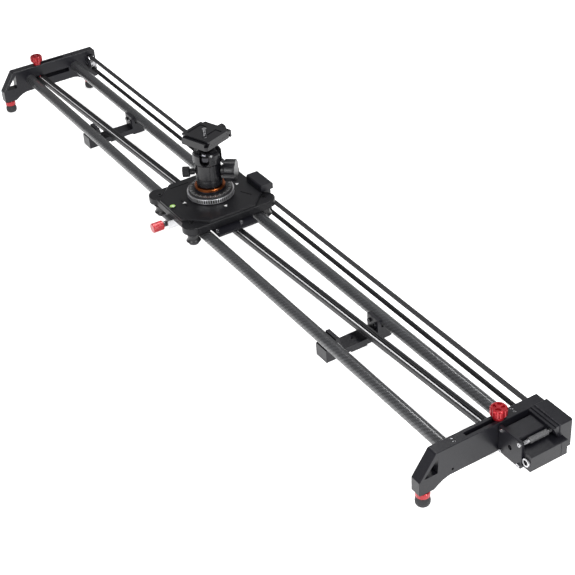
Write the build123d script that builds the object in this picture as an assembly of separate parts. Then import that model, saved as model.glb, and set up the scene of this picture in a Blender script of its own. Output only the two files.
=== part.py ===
from build123d import *
import math
import os

# Camera slider, millimetres, +Z up. X runs along the rails (motor end at +X), -Y is the front.
# Everything is drawn with the feet on Z=0 and the rails centred on X=0, then moved so that the
# origin is the bottom centre of the whole object.

# ---------------------------------------------------------------- driving dimensions
RAIL_SPAN = 1200.0        # outside faces of the two end plates
PLATE_T = 15.0            # end plate thickness along X
PLATE_TOP = 75.0
PLATE_FRONT = -87.0
PLATE_REAR = 88.0
HALF = RAIL_SPAN / 2      # outer face of an end plate
INNER = HALF - PLATE_T    # its inner face
ARCH_Z = 34.5             # underside of the end plate between its two legs
BOSS_Z = 24.5             # bottom of the foot bosses

TUBE_R = 8.0
TUBE_WALL = 1.5
TUBE_Z = 55.0
TUBE_FRONT_Y = -36.0
TUBE_REAR_Y = 47.5
TUBE_SEAT = 10.0          # depth of a tube in an end plate
TRACK_Y = (TUBE_FRONT_Y + TUBE_REAR_Y) / 2

GUIDE_W = 12.5            # skewed guide rail
GUIDE_Z0, GUIDE_Z1 = 49.5, 55.0
GUIDE_LEN_X = RAIL_SPAN - 7
GUIDE_FAR_Y, GUIDE_NEAR_Y = -17.0, 26.0
GUIDE_ARM_X = RAIL_SPAN / 2 - PLATE_T / 2
GUIDE_SLOPE = (GUIDE_NEAR_Y - GUIDE_FAR_Y) / (2 * GUIDE_ARM_X)
GROOVE_W = 5.0
GROOVE_D = 4.0
PIN_R = 2.2

FOOT_X = RAIL_SPAN / 2 - PLATE_T / 2
FOOT_FRONT_Y, FOOT_REAR_Y = -77.0, 73.0
FOOT_R = 9.0
FOOT_Z0, FOOT_Z1 = 3.5, 16.0
WHEEL_R = 8.5
WHEEL_Z0, WHEEL_Z1 = 16.5, 24.0
STUD_R = 3.0
STUD_TOP = 36.0

BRACKET_X = (-345.0, 340.5)
BRACKET_W = 23.0
BRACKET_Z0, BRACKET_Z1 = 30.0, 40.0
SADDLE_BITE = 1.0         # depth of a tube in its saddle
LUG_T = 5.6               # lug on the inner side of each tube
TRIPOD_R = 4.2

BELT_Y = 77.5
BELT_W = 7.0
BELT_T = 1.4
BELT_R = 9.8              # inner radius of the belt where it wraps a pulley
PULLEY_Z = 54.5
PULLEY_R = BELT_R - 0.3
PULLEY_TEETH = 32
FLANGE_R = BELT_R + 1.7
FLANGE_T = 1.0
PULLEY_GAP = 0.2          # belt edge to pulley flange
PULLEY_ROOM = BELT_W / 2 + PULLEY_GAP + FLANGE_T + 0.5   # half the slot a pulley runs in
SLOT_R = FLANGE_R + 1
FORK_T = 2.2              # cheek of the idler fork
IDLER_X = -HALF + 17
DRIVE_X = HALF + 19
SHAFT_R = 2.5
ROD_X, ROD_Z, ROD_R, GRIP_R = HALF + 32.2, 64.5, 2.5, 3.5
MOTOR_PLATE_Y, MOTOR_PLATE_T = 20.5, 3.5
FLANGE_Y, COVER_Y, COVER_END_Y = 62.0, 69.5, 88.5
COVER_X = HALF + 43
CASE_X0, CASE_X1, CASE_Z0, CASE_Z1 = HALF + 31, HALF + 50.5, 38.3, 59.5
SOCKET_X, SOCKET_Z, SOCKET_RING_R, SOCKET_R = HALF + 43.9, 48.5, 5.2, 3.4
SOCKET_Y, SOCKET_DEPTH = 22.0, 9.0

CAR_X = -16.0             # carriage centre as stored
DECK_Z0, DECK_Z1 = 66.0, 80.0
LOBE_Z = DECK_Z1 - 4            # top of the four corner lobes
PLATEAU_CUT = 30.0
GROOVES = [((-47, -40), (-47, -12)), ((-47, 12), (-47, 40)), ((22, 36), (38, 44)), ((-22, 36), (-38, 44)),
           ((10, -44), (-8, -44))]
DECK_HALF_Y = 66.0
DECK_FRONT = 67.5         # deck edge in front of the track line
DECK_LEFT, DECK_RIGHT = 62.0, 66.0
LOBE_X, LOBE_R = 50.0, 15.0
ROLLER_X = 48.0
ROLLER_OFF = TUBE_R + 8.0 # roller axis to tube axis
LOBE_Y = (TUBE_REAR_Y - TUBE_FRONT_Y) / 2 + ROLLER_OFF
ROLLER_R = 10.2
ROLLER_H = 12.6
AXLE_R = 3.0
LEVEL_X, LEVEL_Y, LEVEL_R = CAR_X - 1.5, TRACK_Y - 60.95, 5.2
BRAKE_Y, BRAKE_Z = -70.0, 58.0
BEAM_Z0, BEAM_Z1, BEAM_X = DECK_Z0 - 5.4, DECK_Z0 - 2, CAR_X + 82

MODULE = 1.6              # pan gear and its rack
GEAR_TEETH = 20
GEAR_R = MODULE * GEAR_TEETH / 2
GEAR_BACKLASH = 0.36      # taken off the width of every tooth
GEAR_T = 3.9
GEAR_Z0, GEAR_Z1 = DECK_Z0 + 0.3, DECK_Z0 + 0.3 + GEAR_T
POCKET_Z = GEAR_Z1 + 0.4   # roof of the gear pocket in the deck
HUB_R = 9.0
FOLLOW_X = CAR_X + 59      # follower pin when stored

PAN_R = 33.5
PAN_T = 7.0
PAN_Z0, PAN_Z1 = DECK_Z1 + 1, DECK_Z1 + 1 + PAN_T
DIAL_R = 31.5
DIAL_Z = PAN_Z1 + 3.0

HEAD_R = 18.5
HEAD_H = 54.0
HEAD_Z0 = DIAL_Z + 7.0    # on the scale ring
HEAD_Z1 = HEAD_Z0 + HEAD_H
CROWN_R, CROWN_Z = HEAD_R + 2, HEAD_Z1 - 16
BALL_R = 16.5
BALL_Z = HEAD_Z1 - 11
STEM_R = 5.5
CLAMP_Z = BALL_Z + 24
KNOB_Z = HEAD_Z0 + 21
PAN_KNOB_Z = HEAD_Z0 + 19.5
MAIN_KNOB_DEG = 48.0
PAN_KNOB_DEG = 240.0
NOTCH_DEG = -40.0         # the notch the stem tilts down into; three more follow round the crown
CLAMP_TURN = 20.0         # bearing of the quick-release clamp when stored
BED_T = 5.2
PLATE_Z = 13.0            # top of the camera plate above the clamp seat
CLAMP_SCREW_Z = 2.6
CAMERA_SCREW_R = 3.17

RUN = 0.05                # radial running clearance
FREE = 0.3                # gap between faces that pass each other


# ---------------------------------------------------------------- helpers
def block(x0, x1, y0, y1, z0, z1):
    return Pos((x0 + x1) / 2, (y0 + y1) / 2, (z0 + z1) / 2) * Box(x1 - x0, y1 - y0, z1 - z0)


def rod(start, axis, length, r):
    return Plane(origin=start, z_dir=axis) * Pos(0, 0, length / 2) * Cylinder(r, length)


def rod_z(x, y, z0, z1, r):
    return rod((x, y, z0), (0, 0, 1), z1 - z0, r)


def rod_y(x, z, y0, y1, r):
    return rod((x, y0, z), (0, 1, 0), y1 - y0, r)


def lathe(points):
    """Revolve an (r, z) outline about Z."""
    pts = [(r, 0, z) for r, z in points]
    return revolve(make_face(Polyline(*pts, close=True)), Axis.Z)


def yz_sheet(points, x0, x1):
    face = make_face(Polyline(*[(x0, y, z) for y, z in points], close=True))
    return extrude(face, x1 - x0, dir=(1, 0, 0))


def aim(deg, z):
    """Plane at the head axis whose Z points out sideways at the given bearing."""
    a = math.radians(deg)
    return Plane(origin=(CAR_X, TRACK_Y, z), z_dir=(math.cos(a), math.sin(a), 0), x_dir=(0, 0, 1))


def flute(body, plane, z0, z1, r, count, cut_r, phase=0.0):
    """Cut round flutes down the side of a knob standing on a plane."""
    for i in range(count):
        a = math.radians(phase + 360 * i / count)
        tool = Pos(r * math.cos(a), r * math.sin(a), (z0 + z1) / 2) * Cylinder(cut_r, z1 - z0)
        body = body - plane * tool
    return body


def screw_head(at, axis, r, h):
    """Socket screw head standing on a face."""
    key = extrude(RegularPolygon(r * 0.55, 6), h)
    return Plane(origin=at, z_dir=axis) * (Pos(0, 0, h / 2) * Cylinder(r, h) - Pos(0, 0, h * 0.45) * key)


def guide_y(x):
    return (GUIDE_FAR_Y + GUIDE_NEAR_Y) / 2 + GUIDE_SLOPE * x


# ---------------------------------------------------------------- frame
def plate_profile():
    return [(-65, PLATE_TOP), (PLATE_REAR - 2, PLATE_TOP), (PLATE_REAR, PLATE_TOP - 2),
            (PLATE_REAR, BOSS_Z + 2), (PLATE_REAR - 2, BOSS_Z), (62, BOSS_Z), (59.5, 27), (56, 29.5),
            (50, 33), (44, ARCH_Z), (-46, ARCH_Z), (-54, 32.4), (-61, 28.6), (-65.5, BOSS_Z + 1),
            (-67.5, BOSS_Z), (PLATE_FRONT + 1, BOSS_Z), (PLATE_FRONT, BOSS_Z + 1),
            (PLATE_FRONT, 43.5)]


def end_plate(side):
    """side -1 is the far plate, +1 the motor plate."""
    x_out, x_in = side * HALF, side * INNER
    p = yz_sheet(plate_profile(), min(x_out, x_in), max(x_out, x_in))
    p = fillet(p.edges().filter_by(Axis.X).sort_by_distance((x_in, -65, PLATE_TOP))[0], 3.0)
    p = chamfer(p.faces().filter_by(Axis.X).edges(), 0.5)
    p -= yz_sheet([(-61.5, 69), (-62.5, 46), (-80.5, 46)], -HALF - 1, HALF + 1)
    p -= rod((x_out - side * 4, -42.0, 41.5), (side, 0, 0), 5, 1.6)
    for y in (TUBE_FRONT_Y, TUBE_REAR_Y):
        p -= rod((x_in - side * 0.01, y, TUBE_Z), (side, 0, 0), TUBE_SEAT + 0.01, TUBE_R)
    xa, xb = sorted((x_in - side, side * (HALF - 3)))
    p -= block(xa, xb, -26.0, 36.0, GUIDE_Z0 - 1, GUIDE_Z1 + 1)
    p -= block(side * FOOT_X - 2.75, side * FOOT_X + 2.75, -21.0, 31.0, GUIDE_Z1, PLATE_TOP + 1)
    for y in (FOOT_FRONT_Y, FOOT_REAR_Y):
        p -= rod_z(side * FOOT_X, y, BOSS_Z - 1, STUD_TOP + 1, STUD_R + RUN)
    for x, y in grub_places(side):
        p -= rod_z(x, y, TUBE_Z + TUBE_R - 0.4, PLATE_TOP + 1, 2.0)
    return p - belt_opening(side)


def belt_opening(side):
    z0, z1 = PULLEY_Z - SLOT_R, PULLEY_Z + SLOT_R
    if side > 0:
        return block(INNER - 1, HALF + 1, BELT_Y - PULLEY_ROOM, BELT_Y + PULLEY_ROOM, z0, z1)
    pocket = block(-HALF + 4, -INNER + 1, BELT_Y - PULLEY_ROOM, BELT_Y + PULLEY_ROOM, z0, z1)
    return pocket + fork_envelope()


def grub_places(side):
    return [(side * FOOT_X + dx, y) for y in (TUBE_FRONT_Y, TUBE_REAR_Y) for dx in (-3.6, 1.6)]


def grub_screws():
    out = []
    for x, y in grub_places(-1) + grub_places(1):
        s = rod_z(x, y, TUBE_Z + TUBE_R + 0.6, PLATE_TOP - 0.8, 1.95)
        key = Pos(x, y, PLATE_TOP - 3) * extrude(RegularPolygon(1.1, 6), 4)
        out.append(s - key)
    return Compound(children=out)


def rail_tube(y):
    length = 2 * (INNER + TUBE_SEAT)
    outer = rod((-length / 2, y, TUBE_Z), (1, 0, 0), length, TUBE_R)
    return outer - rod((-length / 2 - 1, y, TUBE_Z), (1, 0, 0), length + 2, TUBE_R - TUBE_WALL)


def guide_rail():
    """Grooved channel set at a slant between the two end plates."""
    h = GUIDE_LEN_X / 2
    def strip(half_w, z0, z1, grow=0.0):
        pts = [(-h - grow, guide_y(-h - grow) - half_w), (h + grow, guide_y(h + grow) - half_w),
               (h + grow, guide_y(h + grow) + half_w), (-h - grow, guide_y(-h - grow) + half_w)]
        face = make_face(Polyline(*[(x, y, z0) for x, y in pts], close=True))
        return extrude(face, z1 - z0, dir=(0, 0, 1))
    g = strip(GUIDE_W / 2, GUIDE_Z0, GUIDE_Z1)
    g -= strip(GROOVE_W / 2, GUIDE_Z1 - GROOVE_D, GUIDE_Z1 + 1, 2)
    g -= strip(GROOVE_W / 2 + 1.2, GUIDE_Z1 - 1.2, GUIDE_Z1 + 1, 2)
    for x in (-GUIDE_ARM_X, GUIDE_ARM_X):
        g -= rod_z(x, guide_y(x), GUIDE_Z0 - 1, GUIDE_Z1 + 1, SHAFT_R + RUN)
    return g


def lock_knob(side):
    """Notched knob over the end plate; its stem reaches down into the guide rail."""
    x = side * GUIDE_ARM_X
    y = guide_y(x)
    z = PLATE_TOP + 0.1
    k = Pos(x, y, 0) * lathe([(0, z), (6.5, z), (6.5, z + 4.7), (9.2, z + 5.6), (10.2, z + 6.6),
                              (10.2, z + 13.4), (9.4, z + 14.8), (8.4, z + 15.4), (0, z + 15.4)])
    dish = Pos(x, y, z + 15.2) * (Cylinder(6.9, 3.6) - Box(15, 1.9, 4) - Box(1.9, 15, 4) - Cylinder(2.6, 4))
    base = Plane(origin=(x, y, 0))
    k = flute(k - dish, base, z + 5.0, z + 16, 11.1, 8, 2.5)
    return k + rod_z(x, y, GUIDE_Z0 + 0.5, z + 0.1, SHAFT_R)


def foot(side, y):
    """Rubber dome moulded on its threaded stud."""
    z = FOOT_Z0
    pad = lathe([(0, z), (5.5, z), (7.6, z + 1.2), (8.7, z + 3.4), (FOOT_R, z + 6.2), (8.6, z + 9.2),
                 (7.4, FOOT_Z1), (STUD_R, FOOT_Z1), (STUD_R, STUD_TOP), (0, STUD_TOP)])
    return Pos(side * FOOT_X, y, 0) * pad


def foot_wheel(side, y):
    """Thumb wheel that turns on the stud."""
    z, t = WHEEL_Z0, WHEEL_Z1
    w = lathe([(STUD_R + RUN, z), (WHEEL_R - 0.8, z), (WHEEL_R, z + 0.8), (WHEEL_R, t - 0.8),
               (WHEEL_R - 0.8, t), (STUD_R + RUN, t)])
    w = Pos(side * FOOT_X, y, 0) * w
    return flute(w, Plane(origin=(side * FOOT_X, y, 0)), z - 1, t + 1, WHEEL_R + 0.5, 14, 0.9)


def bracket(x):
    """Cross bar under both tubes with a saddle and an inner lug at each."""
    x0, x1 = x - BRACKET_W / 2, x + BRACKET_W / 2
    w = TRACK_Y - TUBE_FRONT_Y
    lug = w - TUBE_R + 0.1
    b = block(x0, x1, TRACK_Y - w - 7, TRACK_Y + w + 7, BRACKET_Z0, BRACKET_Z1)
    for s in (-1, 1):
        ya, yb = sorted((TRACK_Y + s * (w + 7), TRACK_Y + s * (lug - LUG_T)))
        b += block(x0, x1, ya, yb, BRACKET_Z1 - 1, TUBE_Z - TUBE_R + SADDLE_BITE)
        ya, yb = sorted((TRACK_Y + s * lug, TRACK_Y + s * (lug - LUG_T)))
        b += block(x0, x1, ya, yb, TUBE_Z - TUBE_R, TUBE_Z + 5)
    for y in (TUBE_FRONT_Y, TUBE_REAR_Y):
        b -= rod((x0 - 1, y, TUBE_Z), (1, 0, 0), BRACKET_W + 2, TUBE_R + 0.01)
    b -= rod_z(x, TRACK_Y, BRACKET_Z0 - 1, BRACKET_Z1 + 1, TRIPOD_R)
    for s in (-1, 1):
        b -= block(x0 - 1, x1 + 1, TRACK_Y + s * 20 - 8, TRACK_Y + s * 20 + 8, BRACKET_Z0 - 1, 32)
    return b


def bracket_screws():
    """Low heads on the inner faces of the lugs."""
    out = []
    for x in BRACKET_X:
        for s in (-1, 1):
            y = TRACK_Y + s * (TRACK_Y - TUBE_FRONT_Y - TUBE_R + 0.1 - LUG_T)
            for dx in (-6, 6):
                out.append(screw_head((x + dx, y, TUBE_Z - 3), (0, -s, 0), 2.8, 2.4))
    return Compound(children=out)


# ---------------------------------------------------------------- belt and motor unit
def belt_loop(r):
    """Outline of the belt at radius r round both pulleys, as a slab across the belt width."""
    y0 = BELT_Y - BELT_W / 2
    b = block(IDLER_X, DRIVE_X, y0, y0 + BELT_W, PULLEY_Z - r, PULLEY_Z + r)
    return b + rod_y(IDLER_X, PULLEY_Z, y0, y0 + BELT_W, r) + rod_y(DRIVE_X, PULLEY_Z, y0, y0 + BELT_W, r)


def belt():
    return belt_loop(BELT_R + BELT_T) - belt_loop(BELT_R)


def drive_pulley():
    """Toothed pulley on the gearbox shaft."""
    return pulley(DRIVE_X, SHAFT_R - 1) + rod_y(DRIVE_X, PULLEY_Z, FLANGE_Y + 2.5, BELT_Y + PULLEY_ROOM + 2, SHAFT_R)


def pulley(x, bore):
    w = BELT_W + 2 * PULLEY_GAP
    y0 = BELT_Y - w / 2
    p = rod_y(x, PULLEY_Z, y0 - FLANGE_T, y0, FLANGE_R) + rod_y(x, PULLEY_Z, y0, y0 + w, PULLEY_R)
    p += rod_y(x, PULLEY_Z, y0 + w, y0 + w + FLANGE_T, FLANGE_R)
    for i in range(PULLEY_TEETH):
        a = 2 * math.pi * i / PULLEY_TEETH
        p -= rod_y(x + PULLEY_R * math.cos(a), PULLEY_Z + PULLEY_R * math.sin(a), y0, y0 + w, 0.45)
    return p - rod_y(x, PULLEY_Z, y0 - 3, y0 + w + 3, bore)


def fork_envelope():
    w = PULLEY_ROOM + FORK_T
    return block(-HALF + 3, IDLER_X + 6, BELT_Y - w, BELT_Y + w, PULLEY_Z - 6.5, PULLEY_Z + 6.5)


def idler_fork():
    f = fork_envelope()
    f -= block(-HALF + 4.6, IDLER_X + 9, BELT_Y - PULLEY_ROOM, BELT_Y + PULLEY_ROOM, PULLEY_Z - 9, PULLEY_Z + 9)
    return f - rod_y(IDLER_X, PULLEY_Z, BELT_Y - 9, BELT_Y + 9, SHAFT_R)


def idler_axle():
    return rod_y(IDLER_X, PULLEY_Z, BELT_Y - PULLEY_ROOM - FORK_T, BELT_Y + PULLEY_ROOM + FORK_T, SHAFT_R)


def drive_housing():
    """Rounded cover over the drive pulley."""
    h = block(HALF, COVER_X, COVER_Y, COVER_END_Y, 40, 77)
    h = fillet(h.edges().filter_by(Axis.Z).group_by(Axis.X)[-1], 2.0)
    h = fillet(h.faces().sort_by(Axis.Z)[-1].edges(), 1.0)
    h -= block(HALF - 1, DRIVE_X + 14, BELT_Y - PULLEY_ROOM, BELT_Y + PULLEY_ROOM,
               PULLEY_Z - SLOT_R, PULLEY_Z + SLOT_R)
    return h - rod_y(DRIVE_X, PULLEY_Z, 67, BELT_Y + PULLEY_ROOM + 2.3, SHAFT_R + RUN)


def motor_flange():
    """Stepped gearbox plate; its outer end slopes back over the controller."""
    x = HALF + 30.5
    f = block(HALF, x, FLANGE_Y, FLANGE_Y + 3.7, 41.5, 74) + block(HALF, x, FLANGE_Y + 3.7, COVER_Y, 41.5, 75.4)
    f += yz_sheet([(FLANGE_Y, 74), (FLANGE_Y + 3.7, 74), (FLANGE_Y + 3.7, 75.4), (COVER_Y, 75.4),
                   (COVER_Y, CASE_Z1), (COVER_Y - 0.8, CASE_Z1)], x, COVER_X - 1)
    f -= rod_y(DRIVE_X, PULLEY_Z, FLANGE_Y + 2, COVER_Y + 1, SHAFT_R + 1)
    return f - rod_y(ROD_X, ROD_Z, FLANGE_Y - 2, COVER_Y - 0.5, ROD_R + RUN)


def motor_body():
    m = block(HALF + 4, HALF + 27.8, MOTOR_PLATE_Y + MOTOR_PLATE_T, FLANGE_Y, 40, 70)
    return fillet(m.edges().filter_by(Axis.Y), 1.5)


def motor_plate():
    p = block(HALF, HALF + 38.6, MOTOR_PLATE_Y, MOTOR_PLATE_Y + MOTOR_PLATE_T, 35.5, 72.5)
    p = fillet(p.edges().filter_by(Axis.Y).group_by(Axis.X)[-1], 2.5)
    p = chamfer(p.faces().sort_by(Axis.Y)[0].edges(), 0.5)
    p -= rod_y(HALF + 19.5, 53.8, MOTOR_PLATE_Y - 1, MOTOR_PLATE_Y + MOTOR_PLATE_T + 1, 3.2)
    return p - rod_y(ROD_X, ROD_Z, MOTOR_PLATE_Y + 1.6, MOTOR_PLATE_Y + MOTOR_PLATE_T + 1, ROD_R + RUN)


def unit_screws():
    """Corner screws of the motor plate and of the belt cover."""
    out = [screw_head((HALF + x, MOTOR_PLATE_Y, z), (0, -1, 0), 2.4, 1.8)
           for x, z in ((4.9, 38.9), (34.6, 39.3), (5.6, 68.6), (35.4, 69.2))]
    out += [screw_head((HALF + x, COVER_END_Y, z), (0, 1, 0), 2.6, 1.8) for x, z in ((7, 72), (37, 72), (37, 45))]
    return Compound(children=out)


def thumb_roller():
    """Ribbed grip on a spindle between the motor plate and the gearbox plate."""
    return rod_y(ROD_X, ROD_Z, MOTOR_PLATE_Y + 1.8, COVER_Y - 0.7, ROD_R) + \
        rod_y(ROD_X, ROD_Z, FLANGE_Y - 26.4, FLANGE_Y - 0.6, GRIP_R)


def controller_case():
    """Slim box beside the motor, flush with the back of the motor plate."""
    c = block(CASE_X0, CASE_X1, MOTOR_PLATE_Y + MOTOR_PLATE_T, COVER_Y, CASE_Z0, CASE_Z1)
    c += block(COVER_X, CASE_X1, COVER_Y - 1, COVER_Y + 6, CASE_Z0, CASE_Z1)
    c = fillet(c.edges().filter_by(Axis.Y).group_by(Axis.X)[-1], 1.2)
    c -= block(CASE_X1 - 0.4, CASE_X1 + 1, COVER_Y - 2.9, COVER_Y - 2.3, CASE_Z0 - 1, CASE_Z1 + 1)
    return c - rod_y(SOCKET_X, SOCKET_Z, SOCKET_Y, SOCKET_Y + SOCKET_DEPTH + 2.5, SOCKET_RING_R)


def control_socket():
    s = rod_y(SOCKET_X, SOCKET_Z, SOCKET_Y, SOCKET_Y + SOCKET_DEPTH + 2.5, SOCKET_RING_R)
    return s - rod_y(SOCKET_X, SOCKET_Z, SOCKET_Y - 0.5, SOCKET_Y + SOCKET_DEPTH, SOCKET_R)


# ---------------------------------------------------------------- carriage
def deck_blank(z0, z1, grow=0.0):
    b = block(CAR_X - DECK_LEFT - grow, CAR_X + DECK_RIGHT + grow, TRACK_Y - LOBE_Y, TRACK_Y + LOBE_Y, z0, z1)
    b += block(CAR_X - LOBE_X, CAR_X + LOBE_X, TRACK_Y - DECK_FRONT - grow, TRACK_Y + DECK_HALF_Y + grow, z0, z1)
    for sx in (-1, 1):
        for sy in (-1, 1):
            b += rod_z(CAR_X + sx * LOBE_X, TRACK_Y + sy * LOBE_Y, z0, z1, LOBE_R + grow)
    return b


def plateau():
    """Raised middle of the deck: a rectangle with its corners cut back to show the lobes."""
    x0, x1, y, f = -DECK_LEFT + 2, DECK_RIGHT - 1, DECK_HALF_Y - 1.5, DECK_FRONT - 0.8
    c = PLATEAU_CUT
    pts = [(x0 + c, -f), (x1 - c, -f), (x1, -f + c), (x1, y - c), (x1 - c, y), (x0 + c, y), (x0, y - c),
           (x0, -f + c)]
    face = make_face(Polyline(*[(CAR_X + px, TRACK_Y + py, LOBE_Z - 0.5) for px, py in pts], close=True))
    return face


def groove(a, b):
    """Shallow round-ended groove in the deck's top between two points."""
    ax, ay, bx, by = CAR_X + a[0], TRACK_Y + a[1], CAR_X + b[0], TRACK_Y + b[1]
    run = Vector(bx - ax, by - ay, 0)
    g = Plane(origin=((ax + bx) / 2, (ay + by) / 2, DECK_Z1), x_dir=run, z_dir=(0, 0, 1)) * \
        Box(run.length, 1.6, 1.8)
    return g + rod_z(ax, ay, DECK_Z1 - 0.9, DECK_Z1 + 0.9, 0.8) + rod_z(bx, by, DECK_Z1 - 0.9, DECK_Z1 + 0.9, 0.8)


def deck():
    """Machined carriage plate with the gear pocket underneath."""
    d = deck_blank(DECK_Z0, LOBE_Z)
    d = fillet(d.faces().sort_by(Axis.Z)[-1].edges(), 1.2)
    top = extrude(plateau(), DECK_Z1 - LOBE_Z + 0.5, dir=(0, 0, 1))
    d += chamfer(top.faces().sort_by(Axis.Z)[-1].edges(), 1.3)
    for a, b in GROOVES:
        d -= groove(a, b)
    z = POCKET_Z
    d -= rod_z(CAR_X, TRACK_Y, DECK_Z0 - 1, z, GEAR_R + MODULE + 1)
    d -= block(CAR_X + 10, CAR_X + GEAR_R + 8, TRACK_Y - 47.75, TRACK_Y + 47.75, DECK_Z0 - 1, z)
    d -= block(CAR_X + GEAR_R + 7, FOLLOW_X + 4, TRACK_Y - 25.25, TRACK_Y + 27.25, DECK_Z0 - 1, z)
    d -= rod_z(CAR_X, TRACK_Y, DECK_Z0, DECK_Z1 + 1, HUB_R + RUN)
    for x, y in roller_places():
        d -= rod_z(x, y, DECK_Z0 - 1, DECK_Z1 + 1, AXLE_R)
        d -= rod_z(x, y, LOBE_Z - 3, LOBE_Z + 1, 4.6)
    return d - rod_z(LEVEL_X, LEVEL_Y, DECK_Z1 - 5, DECK_Z1 + 1, LEVEL_R)


def roller_places():
    return [(CAR_X - ROLLER_X, TUBE_FRONT_Y - ROLLER_OFF), (CAR_X + ROLLER_X, TUBE_FRONT_Y - ROLLER_OFF),
            (CAR_X - ROLLER_X, TUBE_REAR_Y + ROLLER_OFF), (CAR_X + ROLLER_X, TUBE_REAR_Y + ROLLER_OFF)]


def roller(place):
    """Grooved wheel that wraps the outer side of a rail tube."""
    h = ROLLER_H / 2
    z = TUBE_Z
    r_cut = TUBE_R + FREE
    reach = math.acos((ROLLER_OFF - ROLLER_R) / r_cut)
    rim = [(ROLLER_R, z - h)]
    for i in range(13):
        a = reach * (i - 6) / 6
        rim.append((ROLLER_OFF - r_cut * math.cos(a), z + r_cut * math.sin(a)))
    rim.append((ROLLER_R, z + h))
    pts = [(AXLE_R + RUN, z - h)] + rim + [(AXLE_R + RUN, z + h)]
    return Pos(place[0], place[1], 0) * lathe(pts)


def roller_axles():
    """Shoulder bolts: black dome under the roller, spacer above it, socket head in the deck."""
    z, h, top = TUBE_Z, ROLLER_H / 2, LOBE_Z
    out = []
    for x, y in roller_places():
        a = lathe([(0, z - h - 6), (4.5, z - h - 6), (7.2, z - h - 4.4), (8, z - h - 2.2), (8, z - h - FREE),
                   (AXLE_R, z - h - FREE), (AXLE_R, z + h + FREE), (5.5, z + h + FREE), (5.5, DECK_Z0),
                   (AXLE_R, DECK_Z0), (AXLE_R, top - 3), (4.5, top - 3), (4.5, top + 0.6), (0, top + 0.6)])
        out.append(Pos(x, y, 0) * (a - Pos(0, 0, top - 1.6) * extrude(RegularPolygon(2.2, 6), 3)))
    return Compound(children=out)


def cross_beam():
    """Strap under the right edge with an outer shelf; the follower pin runs in its slot."""
    b = block(FOLLOW_X - 6, FOLLOW_X + 5, -28, 36.5, BEAM_Z0, DECK_Z0)
    b = fillet(b.edges().filter_by(Axis.Z), 2.0)
    shelf = block(FOLLOW_X, BEAM_X, -28.5, 33, BEAM_Z0, BEAM_Z1)
    b += chamfer(shelf.faces().sort_by(Axis.X)[-1].edges(), 0.6)
    b -= block(FOLLOW_X - PIN_R - FREE, FOLLOW_X + PIN_R + FREE, -16, 29.5, BEAM_Z0 - 0.6, DECK_Z0 + 1)
    return b


def level_ring():
    return rod_z(LEVEL_X, LEVEL_Y, DECK_Z1 - 5, DECK_Z1 + 1.2, LEVEL_R) - \
        rod_z(LEVEL_X, LEVEL_Y, DECK_Z1 - 3.5, DECK_Z1 + 2, LEVEL_R - 1)


def level_glass():
    g = rod_z(LEVEL_X, LEVEL_Y, DECK_Z1 - 3.5, DECK_Z1 + 0.9, LEVEL_R - 1)
    return fillet(g.edges().sort_by(Axis.Z)[-1], 0.7)


def belt_clamp():
    y = BELT_Y + 6
    c = block(CAR_X + 3, CAR_X + 34, TRACK_Y + DECK_HALF_Y, y, PULLEY_Z - 14, DECK_Z1)
    c += block(CAR_X + 1, CAR_X + 42, TRACK_Y + DECK_HALF_Y - 7.75, y, DECK_Z1, DECK_Z1 + 10)
    c = chamfer(c.edges().filter_by(Axis.X).group_by(Axis.Z)[-1], 1.5)
    for z in (PULLEY_Z - BELT_R - BELT_T, PULLEY_Z + BELT_R):
        c -= block(CAR_X - 4, CAR_X + 46, BELT_Y - BELT_W / 2 - 0.6, BELT_Y + BELT_W / 2 + 0.6,
                   z - 0.5, z + BELT_T + 0.5)
    return c


def carriage_screws():
    """Two bright heads on the shelf of the strap."""
    return Compound(children=[screw_head((x, y, BEAM_Z1), (0, 0, 1), 2.6, 1.7)
                              for x, y in ((CAR_X + 69.6, -24.6), (CAR_X + 70.2, 13.4))])


def brake_block():
    b = block(CAR_X - 9, CAR_X + 9, BRAKE_Y, -50.5, BRAKE_Z - 6, DECK_Z0)
    b = chamfer(b.edges().filter_by(Axis.Y).group_by(Axis.Z)[0], 1.5)
    return b - rod_y(CAR_X, BRAKE_Z, BRAKE_Y - 1, -50, AXLE_R + RUN)


def brake_knob():
    k = rod_y(CAR_X, BRAKE_Z, -91, -74.5, 7.0)
    k = chamfer(k.edges().filter_by(GeomType.CIRCLE), 0.7)
    k += rod_y(CAR_X, BRAKE_Z, -75, BRAKE_Y - 0.3, 4.0)
    k += rod_y(CAR_X, BRAKE_Z, BRAKE_Y - 1, -48, AXLE_R)
    return flute(k, Plane(origin=(CAR_X, 0, BRAKE_Z), z_dir=(0, 1, 0)), -89.8, -75.7, 7.4, 20, 0.75)


# ---------------------------------------------------------------- pan gear
def involute_points(count, module, thin):
    """Outline of a spur gear, counter-clockwise, with a tooth space centred on +X."""
    rp = module * count / 2
    rb = rp * math.cos(math.radians(20))
    ra, rf = rp + module, rp - 1.25 * module
    inv = math.tan(math.radians(20)) - math.radians(20)
    half = (math.pi * module / 2 - thin) / (2 * rp) + inv
    flank = []
    for i in range(6):
        r = max(rb, rf) + (ra - max(rb, rf)) * i / 5
        t = math.acos(min(1.0, rb / r))
        flank.append((r, half - (math.tan(t) - t)))
    pts = []
    for k in range(count):
        mid = 2 * math.pi * (k + 0.5) / count
        side = [(rf, flank[0][1])] + flank
        for r, a in side:
            pts.append((r * math.cos(mid - a), r * math.sin(mid - a)))
        for r, a in reversed(side):
            pts.append((r * math.cos(mid + a), r * math.sin(mid + a)))
    return pts


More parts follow.
